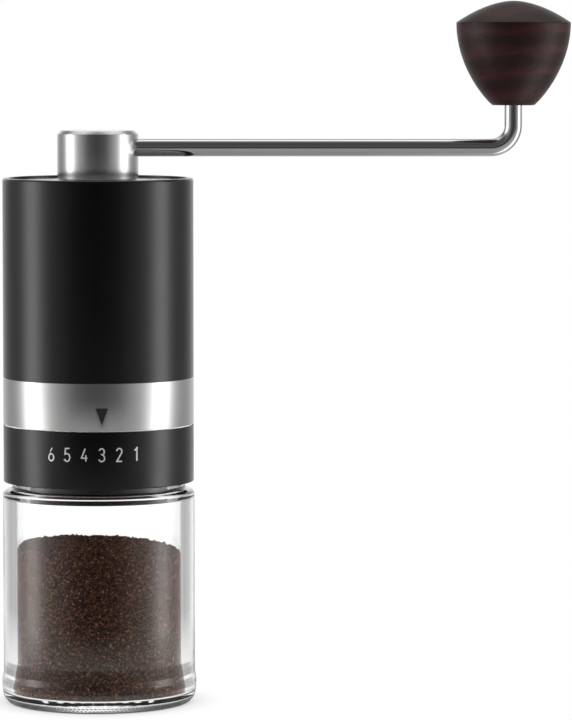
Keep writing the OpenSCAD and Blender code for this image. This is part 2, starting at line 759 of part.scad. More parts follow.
glass_jar();
jar_gasket();
body_shell();
steel_band();
chamber_body();
bridge();
upper_bush();
bridge_screws();
outer_burr();
burr_clamp();
burr_screws();
jar_collar();
collar_screws();
click_spring();
glide_ring();
number_ring();
lower_carrier();
cam_pins();
lower_bush();
thrust_washer();
drive_shaft();
inner_burr();
burr_nut();
burr_spring();
shaft_clip();
lid();
lid_seal();
lid_bush();
crank_hub();
drive_socket();
socket_clip();
arm_screw();
crank_arm();
knob_clip();
knob();
knob_bush();
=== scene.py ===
"""Looks of the hand crank coffee grinder: glass jar with ground coffee, black coats, steel, dark wood."""
import math
import random

import bmesh
import bpy
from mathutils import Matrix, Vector, noise


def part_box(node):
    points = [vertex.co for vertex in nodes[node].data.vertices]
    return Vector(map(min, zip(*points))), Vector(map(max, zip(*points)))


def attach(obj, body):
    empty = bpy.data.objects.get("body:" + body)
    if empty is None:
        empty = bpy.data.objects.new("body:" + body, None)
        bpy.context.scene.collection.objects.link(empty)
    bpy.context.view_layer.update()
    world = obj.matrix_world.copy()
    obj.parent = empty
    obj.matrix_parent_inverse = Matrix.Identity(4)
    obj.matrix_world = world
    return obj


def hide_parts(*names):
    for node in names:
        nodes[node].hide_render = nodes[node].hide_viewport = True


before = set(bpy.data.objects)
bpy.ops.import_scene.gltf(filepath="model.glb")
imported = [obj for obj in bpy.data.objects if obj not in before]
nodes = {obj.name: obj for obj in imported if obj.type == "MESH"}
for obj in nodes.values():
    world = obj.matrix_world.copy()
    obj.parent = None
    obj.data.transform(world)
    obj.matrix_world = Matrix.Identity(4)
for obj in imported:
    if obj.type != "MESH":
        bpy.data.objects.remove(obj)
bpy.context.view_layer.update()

MM = 0.001
SMOOTH_BELOW = math.radians(32)


# ---------------------------------------------------------------- sizes from the frame

def span(node):
    """Outer radius about the main axis, lowest and highest z of a CAD node."""
    low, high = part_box(node)
    return high.y, low.z, high.z


shell_r, shell_low, shell_top = span("body_shell")
band_r, band_low, band_top = span("steel_band")
ring_r, ring_low, ring_top = span("number_ring")
jar_r, jar_low, jar_rim = span("glass_jar")
hub_r, hub_low, hub_top = span("crank_hub")
lid_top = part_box("lid")[1].z
arm_low, arm_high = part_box("crank_arm")
knob_low, knob_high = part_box("knob")
bush_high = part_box("knob_bush")[1]
rod_r = arm_high.y
arm_z = arm_low.z + rod_r
arm_reach = (knob_low.x + knob_high.x) / 2
knob_r = knob_high.y
shoulder_top = ring_low - 2.5 * MM


# ---------------------------------------------------------------- mesh helpers

def finish_mesh(name, bm, material, body, replaces=(), smooth=SMOOTH_BELOW):
    """Turns a bmesh into a smooth piece that rides on a body."""
    bmesh.ops.recalc_face_normals(bm, faces=bm.faces)
    mesh = bpy.data.meshes.new(name)
    bm.to_mesh(mesh)
    bm.free()
    mesh.polygons.foreach_set("use_smooth", [True] * len(mesh.polygons))
    mesh.set_sharp_from_angle(angle=smooth)
    piece = bpy.data.objects.new(name, mesh)
    bpy.context.scene.collection.objects.link(piece)
    mesh.materials.append(material)
    settle(piece, body, replaces)
    return piece


def settle(piece, body, replaces):
    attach(piece, body)
    if replaces:
        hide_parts(*replaces)


def rounded(corners, steps=5):
    """An outline of (r, z) points from (r, z, fillet) corners; each fillet becomes an arc."""
    points = []
    last = len(corners) - 1
    for i, (r, z, fillet) in enumerate(corners):
        here = Vector((r, z))
        if fillet <= 0 or i in (0, last):
            points.append(here)
            continue
        before = (Vector(corners[i - 1][:2]) - here)
        after = (Vector(corners[i + 1][:2]) - here)
        opening = before.angle(after)
        cut = min(fillet / math.tan(opening / 2), before.length * 0.49, after.length * 0.49)
        start = here + before.normalized() * cut
        end = here + after.normalized() * cut
        for k in range(steps + 1):
            t = k / steps
            points.append((1 - t) ** 2 * start + 2 * t * (1 - t) * here + t * t * end)
    return [(p.x, p.y) for p in points]


def finer(points, longest):
    """Splits the outline's edges until none is longer than that."""
    out = [points[0]]
    for (r0, z0), (r1, z1) in zip(points, points[1:]):
        n = max(1, math.ceil(math.hypot(r1 - r0, z1 - z0) / longest))
        out += [(r0 + (r1 - r0) * k / n, z0 + (z1 - z0) * k / n) for k in range(1, n + 1)]
    return out


def lathe(points, segments, centre=(0, 0), closed=False, bend=None):
    """Turns an outline of (r, z) round the axis; a point on the axis becomes a pole."""
    bm = bmesh.new()
    rings = []
    for r, z in points:
        if r < 1e-7:
            rings.append([bm.verts.new((centre[0], centre[1], z))] * segments)
            continue
        ring = []
        for k in range(segments):
            a = 2 * math.pi * k / segments
            rr, zz = bend(r, z, a) if bend else (r, z)
            ring.append(bm.verts.new((centre[0] + rr * math.cos(a), centre[1] + rr * math.sin(a), zz)))
        rings.append(ring)
    pairs = list(zip(rings, rings[1:])) + ([(rings[-1], rings[0])] if closed else [])
    for low, high in pairs:
        for k in range(segments):
            n = (k + 1) % segments
            corners = [low[k], low[n], high[n], high[k]]
            unique = list(dict.fromkeys(corners))
            if len(unique) > 2:
                bm.faces.new(unique)
    return bm


def sweep(path, radius, sides):
    """A round bar along a path, with closed ends."""
    bm = bmesh.new()
    rings = []
    for i, p in enumerate(path):
        before = path[max(i - 1, 0)]
        after = path[min(i + 1, len(path) - 1)]
        along = (after - before).normalized()
        side = Vector((0, 1, 0))
        up = side.cross(along)
        rings.append([bm.verts.new(p + radius * (math.cos(a) * side + math.sin(a) * up))
                      for a in (2 * math.pi * k / sides for k in range(sides))])
    for low, high in zip(rings, rings[1:]):
        for k in range(sides):
            n = (k + 1) % sides
            bm.faces.new((low[k], low[n], high[n], high[k]))
    bm.faces.new(rings[0][::-1])
    bm.faces.new(rings[-1])
    return bm


# ---------------------------------------------------------------- shader groups and materials

class Tree:
    """Small helper that adds nodes to a node tree and joins them."""

    def __init__(self, tree):
        self.tree = tree

    def add(self, kind, inputs=(), **settings):
        node = self.tree.nodes.new(kind)
        for key, value in settings.items():
            setattr(node, key, value)
        for key, value in dict(inputs).items():
            if isinstance(value, bpy.types.NodeSocket):
                self.tree.links.new(value, node.inputs[key])
            else:
                node.inputs[key].default_value = value
        return node

    def math(self, operation, a, b=0.0):
        return self.add("ShaderNodeMath", {0: a, 1: b}, operation=operation).outputs[0]

    def ramp(self, factor, stops):
        node = self.add("ShaderNodeValToRGB", {0: factor})
        elements = node.color_ramp.elements
        while len(elements) < len(stops):
            elements.new(0.5)
        for element, (place, colour) in zip(elements, stops):
            element.position = place
            element.color = (*colour, 1)
        return node.outputs[0]

    def bump(self, shader, height, depth, strength=1.0):
        """Shades a surface as if it rose with the height, by a depth in millimetres."""
        node = self.add("ShaderNodeBump", {"Strength": strength, "Distance": depth * MM, "Height": height})
        self.tree.links.new(node.outputs[0], shader.inputs["Normal"])


def new_group(name, inputs, outputs):
    """A shader node group; inputs are (name, default), outputs are (name, socket kind)."""
    group = bpy.data.node_groups.new(name, "ShaderNodeTree")
    for label, default in inputs:
        kind = "NodeSocketColor" if isinstance(default, tuple) else "NodeSocketFloat"
        socket = group.interface.new_socket(label, in_out="INPUT", socket_type=kind)
        socket.default_value = default
    for label, kind in outputs:
        group.interface.new_socket(label, in_out="OUTPUT", socket_type=kind)
    t = Tree(group)
    return group, t, t.add("NodeGroupInput"), t.add("NodeGroupOutput")


def brushing_group():
    """Fine lines round the main axis: a shade that varies with height, and a height for bump."""
    group, t, given, out = new_group(
        "brushed_lines",
        [("Base", (0.6, 0.6, 0.6, 1)), ("Lines per mm", 5.0), ("Contrast", 0.1), ("Smudge", 0.1)],
        [("Color", "NodeSocketColor"), ("Rough shift", "NodeSocketFloat"), ("Height", "NodeSocketFloat")])
    place = t.add("ShaderNodeTexCoord").outputs["Object"]
    parts = t.add("ShaderNodeSeparateXYZ", {0: place})
    around = 120.0
    fine = t.math("MULTIPLY", given.outputs["Lines per mm"], 1 / MM)
    lines_at = t.add("ShaderNodeCombineXYZ", {
        0: t.math("MULTIPLY", parts.outputs[0], around),
        1: t.math("MULTIPLY", parts.outputs[1], around),
        2: t.math("MULTIPLY", parts.outputs[2], fine)}).outputs[0]
    lines = t.add("ShaderNodeTexNoise", {"Vector": lines_at, "Scale": 1.0, "Detail": 3.0, "Roughness": 0.6})
    blotch = t.add("ShaderNodeTexNoise", {"Vector": place, "Scale": 90.0, "Detail": 4.0})
    line = t.math("SUBTRACT", lines.outputs[0], 0.5)
    dirt = t.math("SUBTRACT", blotch.outputs[0], 0.5)
    shade = t.math("ADD", 1.0, t.math("ADD", t.math("MULTIPLY", line, given.outputs["Contrast"]),
                                      t.math("MULTIPLY", dirt, given.outputs["Smudge"])))
    tinted = t.add("ShaderNodeVectorMath", {0: given.outputs["Base"], "Scale": shade}, operation="SCALE")
    t.tree.links.new(tinted.outputs[0], out.inputs["Color"])
    t.tree.links.new(t.math("MULTIPLY", dirt, given.outputs["Smudge"]), out.inputs["Rough shift"])
    t.tree.links.new(lines.outputs[0], out.inputs["Height"])
    return group


def speckle_group():
    """Grainy surface: a shade from small cells and soft blotches, and a height for bump."""
    group, t, given, out = new_group(
        "fine_speckle",
        [("Base", (0.5, 0.5, 0.5, 1)), ("Grain mm", 0.3), ("Contrast", 0.1), ("Blotch", 0.1)],
        [("Color", "NodeSocketColor"), ("Height", "NodeSocketFloat"), ("Blotches", "NodeSocketFloat")])
    place = t.add("ShaderNodeTexCoord").outputs["Object"]
    scale = t.math("DIVIDE", 1 / MM, given.outputs["Grain mm"])
    cells = t.add("ShaderNodeTexNoise", {"Vector": place, "Scale": scale, "Detail": 2.0})
    wide = t.add("ShaderNodeTexNoise", {"Vector": place, "Scale": 140.0, "Detail": 3.0})
    shade = t.math("ADD", 1.0, t.math("ADD",
        t.math("MULTIPLY", t.math("SUBTRACT", cells.outputs[0], 0.5), given.outputs["Contrast"]),
        t.math("MULTIPLY", t.math("SUBTRACT", wide.outputs[0], 0.5), given.outputs["Blotch"])))
    tinted = t.add("ShaderNodeVectorMath", {0: given.outputs["Base"], "Scale": shade}, operation="SCALE")
    t.tree.links.new(tinted.outputs[0], out.inputs["Color"])
    t.tree.links.new(cells.outputs[0], out.inputs["Height"])
    t.tree.links.new(wide.outputs[0], out.inputs["Blotches"])
    return group


BRUSHING = brushing_group()
SPECKLE = speckle_group()


def new_material(name, **sockets):
    """A material with a Principled BSDF whose plain values are set on its own sockets."""
    material = bpy.data.materials.new(name)
    material.use_nodes = True
    tree = material.node_tree
    shader = tree.nodes["Principled BSDF"]
    for key, value in sockets.items():
        shader.inputs[key.replace("_", " ")].default_value = value
    return material, Tree(tree), shader


def brushed(name, base, roughness, lines, contrast, smudge, bump, **sockets):
    """A finish with fine lines round the main axis."""
    material, t, shader = new_material(name, Roughness=roughness, **sockets)
    group = t.add("ShaderNodeGroup", node_tree=BRUSHING)
    shade = {"Base": (*base, 1), "Lines per mm": lines, "Contrast": contrast, "Smudge": smudge}
    for key, value in shade.items():
        group.inputs[key].default_value = value
    t.tree.links.new(group.outputs["Color"], shader.inputs["Base Color"])
    rough = t.math("ADD", group.outputs["Rough shift"], roughness)
    t.tree.links.new(rough, shader.inputs["Roughness"])
    t.bump(shader, group.outputs["Height"], bump)
    return material


def speckled(name, base, roughness, grain, contrast, blotch, bump, **sockets):
    """A finish with a fine grain and soft blotches."""
    material, t, shader = new_material(name, Roughness=roughness, **sockets)
    group = t.add("ShaderNodeGroup", node_tree=SPECKLE)
    shade = {"Base": (*base, 1), "Grain mm": grain, "Contrast": contrast, "Blotch": blotch}
    for key, value in shade.items():
        group.inputs[key].default_value = value
    t.tree.links.new(group.outputs["Color"], shader.inputs["Base Color"])
    worn = t.math("MULTIPLY_ADD", group.outputs["Blotches"], 0.08)
    worn.node.inputs[2].default_value = roughness - 0.04
    t.tree.links.new(worn, shader.inputs["Roughness"])
    t.bump(shader, group.outputs["Height"], bump)
    return material


def wood_material():
    """Dark red-brown turned wood: growth rings cut across, fine fibres, short pores, oil sheen."""
    material, t, shader = new_material("dark_turned_wood", Roughness=0.40)
    shader.inputs["Specular IOR Level"].default_value = 0.15
    place = t.add("ShaderNodeTexCoord").outputs["Object"]
    centred = t.add("ShaderNodeMapping", {
        "Vector": place, "Location": (-arm_reach, 0.0, -knob_low.z),
        "Rotation": (0.03, 0.05, 0.5)}).outputs[0]
    warp = t.add("ShaderNodeTexNoise", {"Vector": centred, "Scale": 60.0, "Detail": 3.0})
    bent = t.add("ShaderNodeVectorMath", {0: warp.outputs["Color"], 1: (0.003, 0.003, 0.001), 2: centred},
                 operation="MULTIPLY_ADD")
    rings = t.add("ShaderNodeTexWave", {
        "Vector": bent.outputs[0], "Scale": 52.0, "Distortion": 2.4, "Detail": 2.0, "Detail Scale": 1.4},
        wave_type="BANDS", bands_direction="Z")
    fibre_at = t.add("ShaderNodeMapping", {
        "Vector": bent.outputs[0], "Scale": (170.0, 170.0, 2600.0)}).outputs[0]
    fibres = t.add("ShaderNodeTexNoise", {"Vector": fibre_at, "Scale": 1.0, "Detail": 4.0, "Roughness": 0.62})
    pores_at = t.add("ShaderNodeMapping", {
        "Vector": bent.outputs[0], "Scale": (420.0, 420.0, 5200.0)}).outputs[0]
    pores = t.add("ShaderNodeTexNoise", {"Vector": pores_at, "Scale": 1.0, "Detail": 1.0})
    pore = t.ramp(pores.outputs[0], [(0.30, (1, 1, 1)), (0.40, (0, 0, 0))])
    tone = t.math("ADD", t.math("MULTIPLY", rings.outputs["Fac"], 0.35),
                  t.math("MULTIPLY", fibres.outputs[0], 0.65))
    colour = t.ramp(tone, [(0.20, (0.0112, 0.0039, 0.0036)), (0.5, (0.0192, 0.0057, 0.0054)),
                           (0.85, (0.0360, 0.0104, 0.0093))])
    darker = t.add("ShaderNodeMix", data_type="RGBA")
    t.tree.links.new(t.math("MULTIPLY", pore, 0.55), darker.inputs["Factor"])
    t.tree.links.new(colour, darker.inputs[6])
    darker.inputs[7].default_value = (0.004, 0.0025, 0.0025, 1)
    t.tree.links.new(darker.outputs[2], shader.inputs["Base Color"])
    rough = t.math("MULTIPLY_ADD", fibres.outputs[0], 0.16)
    rough.node.inputs[2].default_value = 0.30
    t.tree.links.new(rough, shader.inputs["Roughness"])
    height = t.math("SUBTRACT", t.math("MULTIPLY", fibres.outputs[0], 0.4), pore)
    t.bump(shader, height, 0.02)
    return material


def coffee_material(name, lift):
    """Ground coffee: dark brown cells with tan and orange chaff; lift makes the brown lighter."""
    material, t, shader = new_material(name, Roughness=0.72)
    shader.inputs["Specular IOR Level"].default_value = 0.0
    place = t.add("ShaderNodeTexCoord").outputs["Object"]
    cells = t.add("ShaderNodeTexVoronoi", {"Vector": place, "Scale": 2600.0, "Randomness": 1.0})
    flakes = t.add("ShaderNodeTexVoronoi", {"Vector": place, "Scale": 2500.0, "Randomness": 1.0})
    tint = t.add("ShaderNodeSeparateColor", {0: cells.outputs["Color"]})
    fleck = t.add("ShaderNodeSeparateColor", {0: flakes.outputs["Color"]})
    browns = ((0.0050, 0.0021, 0.0012), (0.0220, 0.0088, 0.0050), (0.0560, 0.0225, 0.0125),
              (0.1400, 0.0580, 0.0300))
    dark = [tuple(c * lift for c in brown) for brown in browns]
    colour = t.ramp(tint.outputs[0], [(0.0, dark[0]), (0.35, dark[1]), (0.8, dark[2]), (1.0, dark[3])])
    bright = t.ramp(fleck.outputs[1], [(0.0, (0.16, 0.060, 0.020)), (1.0, (0.36, 0.200, 0.090))])
    chaff = t.ramp(fleck.outputs[0], [(0.94, (0, 0, 0)), (0.97, (1, 1, 1))])
    mixed = t.add("ShaderNodeMix", data_type="RGBA")
    t.tree.links.new(t.math("MULTIPLY", chaff, 0.75), mixed.inputs["Factor"])
    t.tree.links.new(colour, mixed.inputs[6])
    t.tree.links.new(bright, mixed.inputs[7])
    t.tree.links.new(mixed.outputs[2], shader.inputs["Base Color"])
    height = t.math("ADD", t.math("MULTIPLY", cells.outputs["Distance"], -1.0),
                    t.math("MULTIPLY", flakes.outputs["Distance"], -0.4))
    t.bump(shader, height, 0.15)
    return material


def glass_material():
    """Clear glass with the faintest waviness; it lets light through to what lies inside."""
    material, t, shader = new_material(
        "clear_jar_glass", Roughness=0.0, Metallic=0.0, Transmission_Weight=1.0, IOR=1.5)
    shader.inputs["Base Color"].default_value = (0.995, 1.0, 0.998, 1)
    place = t.add("ShaderNodeTexCoord").outputs["Object"]
    stretched = t.add("ShaderNodeMapping", {"Vector": place, "Scale": (60.0, 60.0, 25.0)}).outputs[0]
    waves = t.add("ShaderNodeTexNoise", {"Vector": stretched, "Scale": 1.0, "Detail": 1.0})
    t.bump(shader, waves.outputs[0], 0.10, strength=0.6)
    return material


BLACK_COAT = speckled("black_satin_coat", (0.0003, 0.0003, 0.0004), 0.20, grain=0.35, contrast=0.2,
                      blotch=0.25, bump=0.0012)
RING_COAT = brushed("black_ring_coat", (0.0005, 0.0005, 0.0006), 0.22, lines=9.0, contrast=0.5, smudge=0.2,
                    bump=0.0012)
BAND_STEEL = brushed("brushed_band_steel", (0.60, 0.60, 0.595), 0.24, lines=7.0, contrast=0.16, smudge=0.05,
                     bump=0.0024, Metallic=1.0)
HUB_STEEL = brushed("turned_hub_steel", (0.60, 0.595, 0.59), 0.20, lines=6.0, contrast=0.12, smudge=0.05,
                    bump=0.0018, Metallic=1.0)
ROD_STEEL = speckled("polished_rod_steel", (0.62, 0.615, 0.61), 0.10, grain=0.5, contrast=0.05, blotch=0.06,
                     bump=0.0008, Metallic=1.0)
PLAIN_STEEL = speckled("plain_steel", (0.52, 0.52, 0.51), 0.28, grain=0.4, contrast=0.15, blotch=0.15,
                       bump=0.004, Metallic=1.0)
LID_COAT = brushed("lid_plate_coat", (0.12, 0.12, 0.121), 0.16, lines=4.0, contrast=0.2, smudge=0.2,
                   bump=0.002)
GREY_NYLON = speckled("grey_nylon", (0.16, 0.16, 0.165), 0.48, grain=0.5, contrast=0.12, blotch=0.08,
                      bump=0.008)
BLACK_NYLON = speckled("black_nylon", (0.012, 0.012, 0.013), 0.42, grain=0.5, contrast=0.2, blotch=0.1,
                       bump=0.008)
WHITE_NYLON = speckled("white_nylon", (0.74, 0.73, 0.70), 0.42, grain=0.5, contrast=0.05, blotch=0.05,
                       bump=0.006)
BUSH = speckled("bearing_bronze", (0.46, 0.27, 0.12), 0.36, grain=0.25, contrast=0.3, blotch=0.2, bump=0.008,
                Metallic=1.0)
CERAMIC = speckled("burr_ceramic", (0.72, 0.69, 0.62), 0.38, grain=0.3, contrast=0.07, blotch=0.06, bump=0.01)
SILICONE = speckled("seal_silicone", (0.60, 0.60, 0.59), 0.55, grain=0.6, contrast=0.05, blotch=0.08,
                    bump=0.006)
DIGIT_PAINT = speckled("digit_paint", (0.50, 0.50, 0.49), 0.45, grain=0.12, contrast=0.25, blotch=0.1,
                       bump=0.002)
POINTER_FILL = speckled("pointer_fill", (0.012, 0.012, 0.012), 0.5, grain=0.2, contrast=0.3, blotch=0.1,
                        bump=0.004)
WOOD = wood_material()
GLASS = glass_material()
COFFEE = coffee_material("ground_coffee", lift=1.2)
GRAINS = coffee_material("coffee_grains", lift=1.6)

# ---------------------------------------------------------------- glass jar

FULL_TURN = 2 * math.pi
HEEL_STEP = 0.4 * MM
GLASS_WALL = 3.8 * MM
GLASS_FLOOR = 3.2 * MM
COVE_STEP = 1.1 * MM
THREAD_START = math.radians(-90)
THREAD_PITCH = 4.0 * MM
THREAD_HEIGHT = 0.7 * MM
THREAD_HALF = 0.95 * MM
FIRST_CREST = 3.25 * MM
RIDGES = 140
RIDGE_DEPTH = 0.22 * MM
RIDGE_FADE = 1.2 * MM
RIDGES_FROM = 22.5 * MM
RIDGES_SIDE = 25.0 * MM
RIDGES_TOP = 2.0 * MM

jar_side = jar_r - HEEL_STEP
jar_in = jar_side - GLASS_WALL
jar_floor = jar_low + GLASS_FLOOR
heel_top = 8.6 * MM
cove_z = heel_top - 3.5 * MM
neck_r = shell_r - 2.5 * MM
bead_top = ring_low + 0.3 * MM
finish_r = shell_r - 4.5 * MM
mouth_r = finish_r - 2.7 * MM


def near(value, target, width):
    """1 at the target, fading to 0 at that distance."""
    return max(0.0, 1.0 - abs(value - target) / width)


def jar_shape(r, z, a):
    """Adds the jar's thread and the fine ridges of its bearing edge."""
    if r > mouth_r + 1.5 * MM and bead_top < z < jar_rim - 0.4 * MM:
        turn = ((a - THREAD_START) % FULL_TURN) / FULL_TURN
        fade = min(1.0, turn * 9, (1 - turn) * 9)
        crest = ring_low + FIRST_CREST + THREAD_PITCH * (turn - 0.25)
        rise = min(1.0, 1.9 * near(z, crest, THREAD_HALF))
        r += THREAD_HEIGHT * rise * fade
    if r > RIDGES_FROM and z < RIDGES_TOP:
        ridge = 0.5 + 0.5 * math.cos(RIDGES * a)
        upward = min(1.0, (RIDGES_TOP - z) / RIDGE_FADE)
        outward = min(1.0, (r - RIDGES_FROM) / RIDGE_FADE)
        depth = RIDGE_DEPTH * upward * outward
        if r > RIDGES_SIDE:
            r -= depth * ridge * 0.8
        else:
            z += depth * ridge * 0.6
    return r, z


jar_outline = rounded([
    (0, jar_low + 0.8 * MM, 0), (18.0 * MM, jar_low + 0.8 * MM, 2.0 * MM),
    (19.6 * MM, jar_low, 1.2 * MM),
    (jar_r - 1.9 * MM, jar_low, 1.6 * MM), (jar_r - 0.35 * MM, 1.9 * MM, 1.5 * MM),
    (jar_r, 4.6 * MM, 3.0 * MM),
    (jar_r, heel_top - 1.6 * MM, 1.4 * MM), (jar_side, heel_top + 0.2 * MM, 1.4 * MM),
    (jar_side, shoulder_top - 0.2 * MM, 2.8 * MM), (neck_r, shoulder_top + 0.3 * MM, 1.6 * MM),
    (neck_r, bead_top - 0.1 * MM, 0.5 * MM), (finish_r, bead_top, 0.4 * MM)], steps=7)
jar_outline += finer([(finish_r, bead_top + 0.3 * MM), (finish_r, jar_rim - 0.9 * MM)], 0.3 * MM)
jar_outline += rounded([
    (finish_r, jar_rim - 0.8 * MM, 0), (finish_r, jar_rim, 0.8 * MM), (mouth_r, jar_rim, 0.8 * MM),
    (mouth_r, shoulder_top + 0.4 * MM, 1.2 * MM), (jar_in, shoulder_top - 1.6 * MM, 2.4 * MM),
    (jar_in, heel_top + 3.0 * MM, 4.0 * MM), (jar_in + COVE_STEP, cove_z, 3.0 * MM),
    (jar_in + COVE_STEP, jar_floor, 2.6 * MM), (0, jar_floor, 0)], steps=7)
finish_mesh("jar_glass", lathe(jar_outline, segments=RIDGES * 4, bend=jar_shape), GLASS, "jar",
            replaces=["glass_jar"], smooth=math.radians(50))

# ---------------------------------------------------------------- ground coffee in the jar

AIR = 0.15 * MM
HEAP_R = 23.4 * MM
HEAP_FROM = 14 * MM
SLUMP_FROM = 19 * MM
SLUMP_WIDTH = 4.4 * MM
CRUMB_REACH = 22.3 * MM
coffee_low = jar_floor + AIR
coffee_top = 44.4 * MM


def coffee_height(x, y):
    """Uneven top of the heap: higher on the left, lower at the right-hand wall, lumpy all over."""
    r = math.hypot(x, y)
    lumps = (noise.noise(Vector((x * 150, y * 150, 0.3))) * 0.4
             + noise.noise(Vector((x * 420, y * 420, 1.7))) * 0.3)
    tilt = -x * 0.036
    slump = -0.3 * MM * max(0.0, (r - SLUMP_FROM) / SLUMP_WIDTH) ** 2
    crown = 0.5 * MM * (1 - (r / HEAP_R) ** 2)
    return coffee_top + tilt + slump + crown + lumps * MM


def coffee_shape(r, z, a):
    """The side follows the glass; the top rows follow the heap."""
    x, y = r * math.cos(a), r * math.sin(a)
    if z >= coffee_top - 1e-6:
        return r, coffee_height(x, y)
    if z > HEAP_FROM:
        share = (z - HEAP_FROM) / (coffee_top - HEAP_FROM)
        return r, z + (coffee_height(x, y) - coffee_top) * share
    return r, z


coffee_side = jar_in - AIR
coffee_outline = rounded([
    (0, coffee_low, 0), (coffee_side + COVE_STEP, coffee_low, 2.5 * MM),
    (coffee_side + COVE_STEP, cove_z, 3.0 * MM), (coffee_side, heel_top + 3.0 * MM, 4.0 * MM),
    (coffee_side, 15 * MM, 0)])
coffee_outline += finer([(coffee_side, 16 * MM), (coffee_side, coffee_top - 0.5 * MM)], 1.5 * MM)
coffee_outline += finer([(coffee_side - 0.3 * MM, coffee_top), (0, coffee_top)], 0.5 * MM)
finish_mesh("coffee_heap", lathe(coffee_outline, segments=240, bend=coffee_shape), COFFEE, "jar",
            smooth=math.radians(60))


def grain_shapes():
    """Three crumbs with broken faces, hidden away once they are copied."""
    rng = random.Random(11)
    shapes = bpy.data.collections.new("crumbs")
    for k in range(3):
        bm = bmesh.new()
        bmesh.ops.create_icosphere(bm, subdivisions=1, radius=0.5 * MM)
        for v in bm.verts:
            v.co *= rng.uniform(0.65, 1.25)
            v.co.z *= 0.75
        mesh = bpy.data.meshes.new(f"crumb_{k}")
        bm.to_mesh(mesh)
        bm.free()
        mesh.materials.append(GRAINS)
        shapes.objects.link(bpy.data.objects.new(f"crumb_{k}", mesh))
    return shapes


def scatter_on(top_mesh, shapes, density, seed):
    """Geometry Nodes that scatter crumbs over a mesh; gives back the finished mesh."""
    group = bpy.data.node_groups.new("scattered_crumbs", "GeometryNodeTree")
    group.interface.new_socket("Geometry", in_out="INPUT", socket_type="NodeSocketGeometry")
    group.interface.new_socket("Geometry", in_out="OUTPUT", socket_type="NodeSocketGeometry")
    sizes = {"Density": density, "Smallest": 0.45, "Largest": 1.9}
    sockets = {label: group.interface.new_socket(label, in_out="INPUT", socket_type="NodeSocketFloat")
               for label in sizes}
    t = Tree(group)
    given, out = t.add("NodeGroupInput"), t.add("NodeGroupOutput")
    points = t.add("GeometryNodeDistributePointsOnFaces", {
        "Mesh": given.outputs[0], "Density": given.outputs["Density"]})
    points.inputs["Seed"].default_value = seed
    source = t.add("GeometryNodeCollectionInfo")
    source.inputs["Collection"].default_value = shapes
    source.inputs["Separate Children"].default_value = True
    source.inputs["Reset Children"].default_value = True
    turn = t.add("FunctionNodeRandomValue", data_type="FLOAT_VECTOR")
    turn.inputs[1].default_value = (6.2, 6.2, 6.2)
    size = t.add("FunctionNodeRandomValue", {
        2: given.outputs["Smallest"], 3: given.outputs["Largest"]}, data_type="FLOAT")
    copies = t.add("GeometryNodeInstanceOnPoints", {
        "Points": points.outputs["Points"], "Instance": source.outputs[0],
        "Rotation": turn.outputs[0], "Scale": size.outputs[1]})
    copies.inputs["Pick Instance"].default_value = True
    real = t.add("GeometryNodeRealizeInstances", {0: copies.outputs[0]})
    painted = t.add("GeometryNodeSetMaterial", {"Geometry": real.outputs[0]})
    painted.inputs["Material"].default_value = GRAINS
    t.tree.links.new(painted.outputs[0], out.inputs[0])
    carrier = bpy.data.objects.new("crumb_carrier", top_mesh)
    bpy.context.scene.collection.objects.link(carrier)
    modifier = carrier.modifiers.new("crumbs", "NODES")
    modifier.node_group = group
    for label, value in sizes.items():
        modifier[sockets[label].identifier] = value
    baked = bpy.data.meshes.new_from_object(carrier.evaluated_get(bpy.context.evaluated_depsgraph_get()))
    bpy.data.objects.remove(carrier)
    return baked


top_bm = lathe([(r, coffee_top) for r in (CRUMB_REACH, 18 * MM, 12 * MM, 6 * MM, 2 * MM, 0)], segments=96,
               bend=lambda r, z, a: (r, coffee_height(r * math.cos(a), r * math.sin(a)) - 0.05 * MM))
top_mesh = bpy.data.meshes.new("crumb_ground")
top_bm.to_mesh(top_mesh)
top_bm.free()
crumbs = bpy.data.objects.new("coffee_crumbs", scatter_on(top_mesh, grain_shapes(), 2.0e6, 5))
bpy.context.scene.collection.objects.link(crumbs)
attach(crumbs, "jar")

# ---------------------------------------------------------------- body, band and number ring

tube_in = shell_r - 1.2 * MM
lip_in = tube_in - 0.5 * MM
lip_low = lid_top - 2.6 * MM
shell_outline = rounded([
    (tube_in, shell_low, 0), (tube_in + 0.4 * MM, shell_low, 0), (shell_r, shell_low, 0.12 * MM),
    (shell_r, shell_top, 1.8 * MM), (lip_in, shell_top, 0.3 * MM), (lip_in, lip_low, 0),
    (tube_in, lip_low, 0)], steps=12)
finish_mesh("body_tube", lathe(shell_outline, segments=384, closed=True), BLACK_COAT, "housing",
            replaces=["body_shell"])

POINTER_AT = math.radians(-85.7)


def cut_with(piece, cutter):
    """Takes the cutter's shape out of a piece and keeps its smooth shading."""
    bpy.context.scene.collection.objects.link(cutter)
    piece.modifiers.new("cut", "BOOLEAN").object = cutter
    piece.modifiers["cut"].solver = "EXACT"
    mesh = bpy.data.meshes.new_from_object(piece.evaluated_get(bpy.context.evaluated_depsgraph_get()))
    piece.modifiers.clear()
    piece.data = mesh
    mesh.polygons.foreach_set("use_smooth", [True] * len(mesh.polygons))
    mesh.set_sharp_from_angle(angle=SMOOTH_BELOW)
    bpy.data.objects.remove(cutter)


